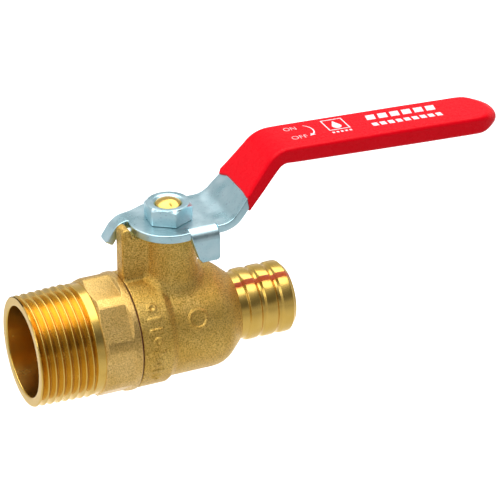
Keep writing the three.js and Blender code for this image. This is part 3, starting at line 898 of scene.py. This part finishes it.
def flat_shape(name, loops):
    """A print made of plain closed outlines."""
    mesh = bpy.data.meshes.new(name)
    with editing(mesh) as work:
        for loop in loops:
            work.faces.new([work.verts.new((x, y, 0)) for x, y in loop])
    return on_grip(name, mesh)


def turn_arrow():
    steps = 20
    half_widths = np.linspace(0.08, 0.22, steps + 1)
    inner = arc(ARROW_CENTRE, ARROW_RADIUS - half_widths, 58, -46, steps)
    outer = arc(ARROW_CENTRE, ARROW_RADIUS + half_widths, 58, -46, steps)
    tail = [[inner[i], outer[i], outer[i + 1], inner[i + 1]] for i in range(steps)]
    head = [arc(ARROW_CENTRE, ARROW_RADIUS + side, angle, angle, 0)[0]
            for side, angle in ((0, -68), (0.65, -44), (-0.65, -44))]
    return flat_shape("print_arrow", tail + [head])


def block_mark(left, low, width, height, lean=0.0):
    right, high = left + width, low + height
    return [(left, low), (right, low), (right + lean, high), (left + lean, high)]


def print_frame():
    """A plain framed drop, the generic sign for water, over a row of dashes."""
    (left, low), (wide, tall), line = FRAME_LOW, FRAME_SIZE, FRAME_LINE
    bars = [block_mark(left, y, wide, line) for y in (low, low + tall - line)]
    bars += [block_mark(x, low + line, line, tall - 2 * line) for x in (left, left + wide - line)]
    middle, size = (left + wide / 2, low + 1.9), 1.15
    drop = [(middle[0], middle[1] + 2.3 * size), *arc(middle, size, 152, 388, 27)]
    dashes = [block_mark(left + 0.2 + 1.1 * place, -2.6, 0.6, 0.7) for place in range(5)]
    return flat_shape("print_drop", bars + [drop] + dashes)


def print_blocks():
    """Two plain rows of blocks where a maker would put a name."""
    wide = [block_mark(51.2 + 3.15 * place, 1.1, 2.3, 2.4, 0.5) for place in range(6)]
    small = [block_mark(51.3 + 2.1 * place, -2.3, 1.45, 1.6) for place in range(9)]
    return flat_shape("print_blocks", wide + small)


# -------------------- materials

class Nodes:
    """Short calls for the shader nodes of a tree."""

    def __init__(self, tree):
        self.tree = tree

    def node(self, kind, inputs=None, **properties):
        made = self.tree.nodes.new(kind)
        for key, value in properties.items():
            setattr(made, key, value)
        for key, value in (inputs or {}).items():
            self.put(made.inputs[key], value)
        return made

    def put(self, socket, value):
        if isinstance(value, bpy.types.NodeSocket):
            self.tree.links.new(value, socket)
        else:
            socket.default_value = value

    def math(self, operation, a, b=0.0):
        return self.node("ShaderNodeMath", {0: a, 1: b}, operation=operation).outputs[0]

    def between(self, factor, low, high, to_low=0.0, to_high=1.0):
        made = self.node("ShaderNodeMapRange", {
            "Value": factor, "From Min": low, "From Max": high, "To Min": to_low, "To Max": to_high})
        return made.outputs[0]

    def mix(self, factor, first, second):
        return self.node("ShaderNodeMix", {0: factor, 6: first, 7: second}, data_type="RGBA").outputs[2]


class Finish(Nodes):
    """A principled material. Lengths are in millimetres in the row frame."""

    def __init__(self, name, **settings):
        self.material = bpy.data.materials.new(name)
        self.material.use_nodes = True
        super().__init__(self.material.node_tree)
        self.shader = self.tree.nodes["Principled BSDF"]
        self.place = self.node("ShaderNodeTexCoord").outputs["Object"]
        for socket, value in settings.items():
            self.shader.inputs[socket.replace("_", " ")].default_value = value

    def finished(self, colour, roughness=None, normal=None):
        for socket, value in (("Base Color", colour), ("Roughness", roughness), ("Normal", normal)):
            if value is not None:
                self.put(self.shader.inputs[socket], value)
        return self.material

    def noise(self, size, detail=2.0, stretch=(1, 1, 1), roughness=0.5):
        """Noise with features of about that size, stretched along the axes."""
        mapping = self.node("ShaderNodeMapping", {"Vector": self.place, "Scale": [1 / s for s in stretch]})
        made = self.node("ShaderNodeTexNoise", {
            "Vector": mapping.outputs[0], "Scale": 1 / (size * MM), "Detail": detail, "Roughness": roughness})
        return made.outputs["Fac"]

    def bump(self, height, depth, strength=1.0, under=None):
        """A bump whose height runs over that depth in millimetres."""
        inputs = {"Height": height, "Distance": depth * MM, "Strength": strength}
        if under is not None:
            inputs["Normal"] = under
        return self.node("ShaderNodeBump", inputs).outputs[0]

    def painted_hollow_shade(self):
        """Mask for painted shade: 0 in hollows of the mesh and 1 elsewhere, from its own curvature."""
        pointiness = self.node("ShaderNodeNewGeometry").outputs["Pointiness"]
        return self.between(pointiness, 0.42, 0.5)

    def stripe(self, angle, half_width, start):
        """Cover of a worn stripe of paint along the pipe, at an angle from +Z towards -Y, from a start on."""
        x, y, z = self.node("ShaderNodeSeparateXYZ", {0: self.place}).outputs
        turned = self.math("ARCTAN2", self.math("MULTIPLY", y, -1.0), z)
        wobble = self.between(self.noise(1.1, 3.0), 0.0, 1.0, -0.012, 0.012)
        off = self.math("ABSOLUTE", self.math("ADD", self.math("SUBTRACT", turned, angle), wobble))
        soft_edge = math.radians(0.35)
        paint = self.between(off, half_width + soft_edge, half_width - soft_edge)
        worn = self.between(self.noise(0.5, 4.0), 0.3, 0.42, 0.6, 1.0)
        begun = self.between(x, (start - 0.1) * MM, (start + 0.1) * MM)
        return self.math("MULTIPLY", self.math("MULTIPLY", paint, worn), begun)


def rgb(red, green, blue):
    """A linear colour from an sRGB one of 0 to 255."""
    def linear(value):
        value /= 255
        return value / 12.92 if value <= 0.04045 else ((value + 0.055) / 1.055) ** 2.4
    return (linear(red), linear(green), linear(blue), 1.0)


def forged_brass(name, dark, middle, light, relief, roughness):
    """Shot-blasted brass: a fine bright and dark grain."""
    finish = Finish(name, Metallic=1.0)
    grain = finish.noise(0.27, 3.0, roughness=0.6)
    cloud = finish.noise(6.0, 3.0)
    tone = finish.mix(finish.between(cloud, 0.35, 0.65), middle, light)
    speck = finish.between(grain, 0.34, 0.6)
    rough = finish.between(grain, 0.3, 0.7, roughness + 0.1, roughness)
    coarse = finish.bump(finish.noise(0.7, 2.0), 0.5 * relief, 0.7)
    return finish.finished(finish.mix(speck, dark, tone), rough, finish.bump(grain, relief, 1.0, coarse))


def turned_brass(name="turned_brass", painted=False):
    """Machined brass with fine lathe lines and painted shade in its grooves, and on the barb a red-brown
    stripe.
    """
    finish = Finish(name, Metallic=1.0)
    lines = finish.noise(0.09, 2.0, stretch=(1, 400, 400))
    cloud = finish.noise(4.0, 3.0)
    colour = finish.mix(finish.between(cloud, 0.3, 0.7), rgb(230, 188, 92), rgb(238, 200, 108))
    # Painted shade: the mesh's hollows and thread grooves are coloured a darker brass.
    colour = finish.mix(finish.painted_hollow_shade(), rgb(186, 132, 50), colour)
    if painted:
        paint = finish.stripe(math.radians(24.6), math.radians(4.85), SHOULDER_END + 0.2)
        colour = finish.mix(paint, colour, rgb(208, 98, 52))
        finish.put(finish.shader.inputs["Metallic"], finish.math("SUBTRACT", 1.0, paint))
    return finish.finished(colour, finish.between(cloud, 0.3, 0.7, 0.2, 0.28), finish.bump(lines, 0.006, 0.6))


def zinc_plate():
    finish = Finish("zinc_plate", Metallic=1.0)
    cloud = finish.noise(5.0, 4.0)
    fine = finish.noise(0.5, 3.0)
    colour = finish.mix(finish.between(cloud, 0.35, 0.65), rgb(180, 218, 226), rgb(208, 234, 240))
    specks = finish.between(fine, 0.62, 0.8)
    waves = finish.bump(finish.noise(2.2, 2.0), 0.03, 0.5)
    return finish.finished(
        finish.mix(specks, colour, rgb(150, 172, 190)), finish.between(cloud, 0.3, 0.7, 0.24, 0.38),
        finish.bump(fine, 0.012, 0.6, waves))


def red_vinyl():
    finish = Finish("red_vinyl", Specular_IOR_Level=0.1)
    colour = finish.mix(finish.noise(9.0, 2.0), rgb(240, 2, 22), rgb(250, 4, 30))
    roughness = finish.between(finish.noise(1.5, 3.0), 0.3, 0.7, 0.24, 0.32)
    ripple = finish.bump(finish.noise(3.5, 2.0), 0.03, 0.5)
    return finish.finished(colour, roughness, finish.bump(finish.noise(0.35, 2.0), 0.006, 0.6, ripple))


def white_ink():
    finish = Finish("white_ink", Specular_IOR_Level=0.4)
    worn = finish.between(finish.noise(0.25, 3.0), 0.36, 0.5)
    colour = finish.mix(worn, rgb(250, 190, 200), rgb(252, 250, 252))
    return finish.finished(colour, finish.between(worn, 0.0, 1.0, 0.4, 0.5))


def chrome():
    finish = Finish("chrome", Metallic=1.0)
    colour = finish.mix(finish.noise(3.0, 2.0), rgb(214, 218, 222), rgb(230, 232, 234))
    return finish.finished(colour, finish.between(finish.noise(1.0, 3.0), 0.3, 0.7, 0.05, 0.12))


def soft(name, first, second, roughness, grain, depth):
    """A plastic or rubber, mottled between two colours."""
    finish = Finish(name)
    colour = finish.mix(finish.noise(grain * 6, 3.0), first, second)
    rough = finish.between(finish.noise(grain * 2, 2.0), 0.3, 0.7, roughness, roughness + 0.12)
    return finish.finished(colour, rough, finish.bump(finish.noise(grain, 2.0), depth))


# -------------------- assembly

def fit_out(piece, body, slot, material, *nodes):
    """Gives a piece its material and body, and hides the CAD nodes that it stands for. The slot is not used.
    """
    piece.data.materials.clear()
    piece.data.materials.append(material)
    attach(piece, body)
    if nodes:
        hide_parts(*nodes)
    return piece


def leave_band_forged(cap, material):
    """A second material on the outside of the end cap's eight-sided band."""
    cap.data.materials.append(material)
    for face in cap.data.polygons:
        x, y, z = (value / MM for value in face.center)
        if FLATS_START + 0.02 < x < SEAM_CAP + 0.01 and math.hypot(y, z) > 13:
            face.material_index = 1


def build_valve():
    brass = forged_brass("forged_brass", rgb(168, 126, 48), rgb(242, 198, 98), rgb(252, 214, 120), 0.15, 0.36)
    cap_brass = forged_brass("cap_brass", rgb(190, 150, 74), rgb(244, 202, 118), rgb(252, 214, 136), 0.1, 0.3)
    turned, striped = turned_brass(), turned_brass("striped_brass", True)
    zinc, red, ink = zinc_plate(), red_vinyl(), white_ink()
    ptfe = soft("ptfe", rgb(236, 236, 230), rgb(248, 248, 244), 0.4, 0.3, 0.01)
    rubber = soft("nitrile_rubber", rgb(24, 24, 26), rgb(38, 38, 40), 0.5, 0.2, 0.01)
    sealant = soft("sealant", rgb(70, 22, 18), rgb(112, 38, 28), 0.45, 0.4, 0.04)

    fit_out(forged_body(), "housing", "forged_brass", brass, "valve_body")
    weighted(fit_out(outlet_barb(), "housing", "turned_brass", striped, "valve_body"))
    cap = fit_out(inlet_cap(), "housing", "turned_brass", turned, "end_cap")
    leave_band_forged(cap, cap_brass)
    fit_out(seam_bead(), "housing", "fibre_gasket", sealant, "cap_gasket")
    fit_out(seat_ring("inlet_seat_ring", -1), "housing", "ptfe", ptfe, "inlet_seat")
    fit_out(seat_ring("outlet_seat_ring", 1), "housing", "ptfe", ptfe, "outlet_seat")
    fit_out(bored_ball(), "ball", "chromed_brass", chrome(), "ball")

    fit_out(stem_shaft(), "handle", "turned_brass", turned, "stem")
    weighted(fit_out(lever_plate(), "handle", "zinc_plated_steel", zinc, "lever"))
    weighted(fit_out(vinyl_sleeve(), "handle", "red_vinyl", red, "grip_sleeve"))
    weighted(fit_out(lever_nut(), "handle", "zinc_plated_steel", zinc, "lever_nut"))
    words = [word("print_on", "ON", 2.1, 3.1), word("print_off", "OFF", -2.6, 4.0)]
    for made in (*words, turn_arrow(), print_frame(), print_blocks()):
        fit_out(made, "handle", None, ink)

    carried_over = {"thrust_washer": ptfe, "stem_o_ring_lower": rubber, "stem_o_ring_upper": rubber}
    for node, material in carried_over.items():
        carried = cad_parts[node]
        carried.data.materials.clear()
        carried.data.materials.append(material)


# -------------------- camera, floor and light

AZIMUTH, ELEVATION = math.radians(-24.0), math.radians(28.7)
DISTANCE = 0.6586
AIM_RIGHT, AIM_UP = 0.01882, 0.01628
LENS = 201.9
FLOOR_DROP = 0.24
FLOOR = CAD_LOW.z - FLOOR_DROP


def add_camera():
    level = math.cos(ELEVATION)
    back = Vector((math.sin(AZIMUTH) * level, -math.cos(AZIMUTH) * level, math.sin(ELEVATION)))
    right = Vector((math.cos(AZIMUTH), math.sin(AZIMUTH), 0))
    up = back.cross(right)
    data = bpy.data.cameras.new("camera")
    data.lens = LENS
    data.sensor_width = 36
    data.clip_start, data.clip_end = 0.01, 20
    camera = linked("camera", data)
    turn = Matrix((right, up, back)).transposed().to_4x4()
    turn.translation = right * AIM_RIGHT + up * AIM_UP + back * DISTANCE
    camera.matrix_world = turn
    bpy.context.scene.camera = camera


def add_floor():
    """The pipe holds the valve, so the floor lies well below it and takes no shadow of it."""
    mesh = bpy.data.meshes.new("floor")
    with editing(mesh) as work:
        bmesh.ops.create_circle(work, cap_ends=True, radius=4.0, segments=96)
    floor = linked("floor", mesh)
    floor.location.z = FLOOR
    finish = Finish("pale_floor", Roughness=0.7, Specular_IOR_Level=0.2)
    mesh.materials.append(finish.finished((0.7, 0.705, 0.71, 1.0)))


def add_light(name, place, aim, size, power):
    data = bpy.data.lights.new(name, "AREA")
    data.shape = "RECTANGLE"
    data.size, data.size_y = size
    data.energy = power
    light = linked(name, data)
    light.location = place
    light.rotation_mode = "QUATERNION"
    light.rotation_quaternion = (Vector(aim) - Vector(place)).to_track_quat("-Z", "Y")


# Brightness by the height of a direction, from level (0) to straight up (1)
FRONT_SKY = [(0.0, 0.5), (0.1, 0.42), (0.3, 0.1), (0.6, 0.16), (0.85, 0.6)]
BACK_SKY = [(0.0, 0.9), (0.2, 0.6), (0.48, 0.48), (0.7, 0.6), (0.85, 0.9)]


def sky_levels(nodes, height, stops):
    """A grey that follows the direction's height through those stops."""
    made = nodes.node("ShaderNodeValToRGB", {0: height})
    elements = made.color_ramp.elements
    elements[0].position = stops[0][0]
    elements[1].position = stops[-1][0]
    for position, _ in stops[1:-1]:
        elements.new(position)
    for element, (_, level) in zip(elements, stops):
        element.color = (level, level, level * 1.02, 1)
    return made.outputs[0]


def add_world():
    """A studio room, brighter behind the valve than in front of it."""
    world = bpy.data.worlds.new("studio")
    bpy.context.scene.world = world
    world.use_nodes = True
    nodes = Nodes(world.node_tree)
    direction = nodes.node("ShaderNodeTexCoord").outputs["Generated"]
    parts = nodes.node("ShaderNodeSeparateXYZ", {0: direction}).outputs
    front, back = (sky_levels(nodes, parts["Z"], stops) for stops in (FRONT_SKY, BACK_SKY))
    background = nodes.tree.nodes["Background"]
    nodes.put(background.inputs["Color"], nodes.mix(nodes.between(parts["Y"], -0.3, 0.3), front, back))
    nodes.put(background.inputs["Strength"], 1.0)


def add_lights():
    """Soft light from above and the left, and a low one that only whitens the floor behind the valve."""
    add_light("overhead", (0.05, 0.12, 0.85), (0.03, 0, 0), (1.2, 1.1), 8.2)
    add_light("left", (-0.8, -0.35, 0.5), (0, 0, 0.01), (0.5, 0.5), 1.4)
    add_light("floor_wash", (0.2, 0.47, FLOOR + 0.08), (0.2, 0.4701, FLOOR), (0.6, 0.6), 1.6)


bpy.context.scene.view_settings.view_transform = "Standard"
build_valve()
add_camera()
add_floor()
add_world()
add_lights()
